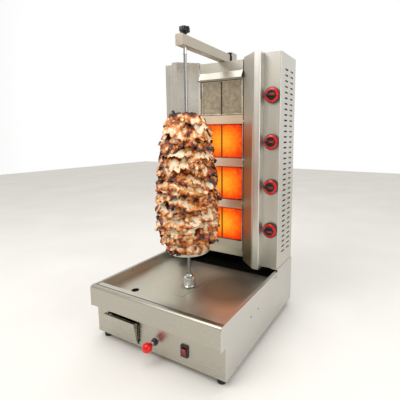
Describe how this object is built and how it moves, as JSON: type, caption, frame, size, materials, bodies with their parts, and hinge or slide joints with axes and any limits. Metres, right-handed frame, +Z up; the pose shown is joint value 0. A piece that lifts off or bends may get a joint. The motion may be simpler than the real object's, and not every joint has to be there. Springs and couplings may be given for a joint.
{
  "type": "vertical rotisserie broiler",
  "caption": "Countertop gas vertical rotisserie broiler: radiant burner column with winged reflectors, motor-driven spit with meat, drip tray, pull-out drawer and a sliding top arm.",
  "frame": {"origin": "on the floor, under the middle of the whole object's box", "axes": "+Z up, -Y towards the cook (the tray and spit side), +X to the cook's right (the knob side)"},
  "size_m": [0.5322, 0.636, 1.069],
  "materials": {
    "stainless_sheet": "brushed",
    "stainless_bright": "polished",
    "galvanised_frame": "matte",
    "machined_steel": "machined",
    "chrome_plate": "polished",
    "cast_gearbox": "cast",
    "motor_paint": "satin",
    "burner_casting": "rough",
    "plaque_ceramic": "perforated",
    "plaque_glowing": "perforated, glowing",
    "screen_wire": "heat stained",
    "brass_fitting": "machined",
    "knob_plastic": "satin",
    "collar_plastic": "satin",
    "red_ball_plastic": "polished",
    "switch_black": "satin",
    "switch_red": "satin",
    "foot_rubber": "matte",
    "gland_plastic": "matte",
    "meat": "roasted"
  },
  "bodies": {
    "base": {"base_floor": "stainless_sheet", "front_panel": "stainless_sheet", "front_apron": "stainless_sheet", "left_side_panel": "stainless_sheet", "right_side_panel": "stainless_sheet", "base_back_panel": "stainless_sheet", "drip_tray": "stainless_sheet", "feet": "foot_rubber", "drain_spout": "stainless_bright", "drawer_guides": "galvanised_frame", "panel_screws": "stainless_bright", "rod_grommet": "gland_plastic", "switch_housing": "switch_black", "cable_gland": "gland_plastic", "carriage_rails": "machined_steel", "arm_inner_bar": "machined_steel", "arm_bracket": "stainless_sheet", "burner_fascia": "stainless_sheet", "left_wing": "stainless_sheet", "right_wing": "stainless_sheet", "left_column_cover": "stainless_sheet", "right_column_cover": "stainless_sheet", "column_back_cover": "stainless_sheet", "column_top_plate": "stainless_sheet", "column_frame": "galvanised_frame", "burner_housings": "burner_casting", "plaques_top_burner": "plaque_ceramic", "plaques_lit": "plaque_glowing", "burner_screens": "screen_wire", "gas_manifold": "galvanised_frame", "gas_valves": "brass_fitting", "feed_tubes": "brass_fitting"},
    "carriage": {"motor_carriage": "galvanised_frame", "gearbox_case": "cast_gearbox", "motor_casing": "motor_paint", "shaft_bearing": "machined_steel", "slot_cover": "stainless_sheet", "pull_rod": "chrome_plate", "ball_knob": "red_ball_plastic"},
    "rotor": {"motor_rotor": "machined_steel"},
    "idler": {"idler_gear": "machined_steel"},
    "spit": {"output_gear": "machined_steel", "drive_coupling": "chrome_plate", "spit_rod": "stainless_bright", "meat_disc": "stainless_bright", "meat_stack": "meat"},
    "arm": {"arm_tube": "stainless_sheet"},
    "pin": {"top_pin": "stainless_bright"},
    "clamp": {"clamp_knob": "knob_plastic"},
    "drawer": {"drawer_pan": "stainless_sheet", "drawer_front": "stainless_sheet"},
    "rocker": {"switch_rocker": "switch_red"},
    "collar_1": {"push_collar_1": "collar_plastic"},
    "knob_1": {"burner_knob_1": "knob_plastic"},
    "collar_2": {"push_collar_2": "collar_plastic"},
    "knob_2": {"burner_knob_2": "knob_plastic"},
    "collar_3": {"push_collar_3": "collar_plastic"},
    "knob_3": {"burner_knob_3": "knob_plastic"},
    "collar_4": {"push_collar_4": "collar_plastic"},
    "knob_4": {"burner_knob_4": "knob_plastic"}
  },
  "joints": [
    {"name": "carriage_slide", "type": "slide", "parent": "base", "child": "carriage", "axis": [0, -1, 0], "range_m": [0, 0.06]},
    {"name": "arm_slide", "type": "slide", "parent": "base", "child": "arm", "axis": [0, -1, 0], "range_m": [0, 0.06]},
    {"name": "spit_spin", "type": "hinge", "parent": "carriage", "child": "spit", "pos_m": [0, -0.077, 0.2], "axis": [0, 0, 1], "continuous": true},
    {"name": "idler_spin", "type": "hinge", "parent": "carriage", "child": "idler", "pos_m": [0.02652, -0.05048, 0.09], "axis": [0, 0, 1], "continuous": true},
    {"name": "rotor_spin", "type": "hinge", "parent": "carriage", "child": "rotor", "pos_m": [0.0525, -0.06548, 0.12], "axis": [0, 0, 1], "continuous": true},
    {"name": "clamp_turn", "type": "hinge", "parent": "pin", "child": "clamp", "pos_m": [0, -0.077, 1.05], "axis": [0, 0, 1], "range_deg": [0, 2380]},
    {"name": "pin_lift", "type": "slide", "parent": "arm", "child": "pin", "axis": [0, 0, 1], "range_m": [0, 0.0099]},
    {"name": "drawer_slide", "type": "slide", "parent": "base", "child": "drawer", "axis": [0, -1, 0], "range_m": [0, 0.24]},
    {"name": "rocker_tilt", "type": "hinge", "parent": "base", "child": "rocker", "pos_m": [0.12, -0.266, 0.0705], "axis": [1, 0, 0], "range_deg": [-18, 0]},
    {"name": "knob_push_1", "type": "slide", "parent": "base", "child": "collar_1", "axis": [0, 1, 0], "range_m": [0, 0.004], "stiffness_N_per_m": 900, "springref_m": -0.002},
    {"name": "knob_turn_1", "type": "hinge", "parent": "collar_1", "child": "knob_1", "pos_m": [0.2305, 0.1265, 0.859], "axis": [0, -1, 0], "range_deg": [0, 180]},
    {"name": "knob_push_2", "type": "slide", "parent": "base", "child": "collar_2", "axis": [0, 1, 0], "range_m": [0, 0.004], "stiffness_N_per_m": 900, "springref_m": -0.002},
    {"name": "knob_turn_2", "type": "hinge", "parent": "collar_2", "child": "knob_2", "pos_m": [0.2305, 0.1265, 0.6925], "axis": [0, -1, 0], "range_deg": [0, 180]},
    {"name": "knob_push_3", "type": "slide", "parent": "base", "child": "collar_3", "axis": [0, 1, 0], "range_m": [0, 0.004], "stiffness_N_per_m": 900, "springref_m": -0.002},
    {"name": "knob_turn_3", "type": "hinge", "parent": "collar_3", "child": "knob_3", "pos_m": [0.2305, 0.1265, 0.526], "axis": [0, -1, 0], "range_deg": [0, 180]},
    {"name": "knob_push_4", "type": "slide", "parent": "base", "child": "collar_4", "axis": [0, 1, 0], "range_m": [0, 0.004], "stiffness_N_per_m": 900, "springref_m": -0.002},
    {"name": "knob_turn_4", "type": "hinge", "parent": "collar_4", "child": "knob_4", "pos_m": [0.2305, 0.1265, 0.3595], "axis": [0, -1, 0], "range_deg": [0, 180]}
  ],
  "couplings": [
    {"joint": "arm_slide", "follows": "carriage_slide", "ratio": 1},
    {"joint": "idler_spin", "follows": "spit_spin", "ratio": -4},
    {"joint": "rotor_spin", "follows": "spit_spin", "ratio": 16},
    {"joint": "clamp_turn", "follows": "pin_lift", "rad_per_m": 4188.8}
  ]
}
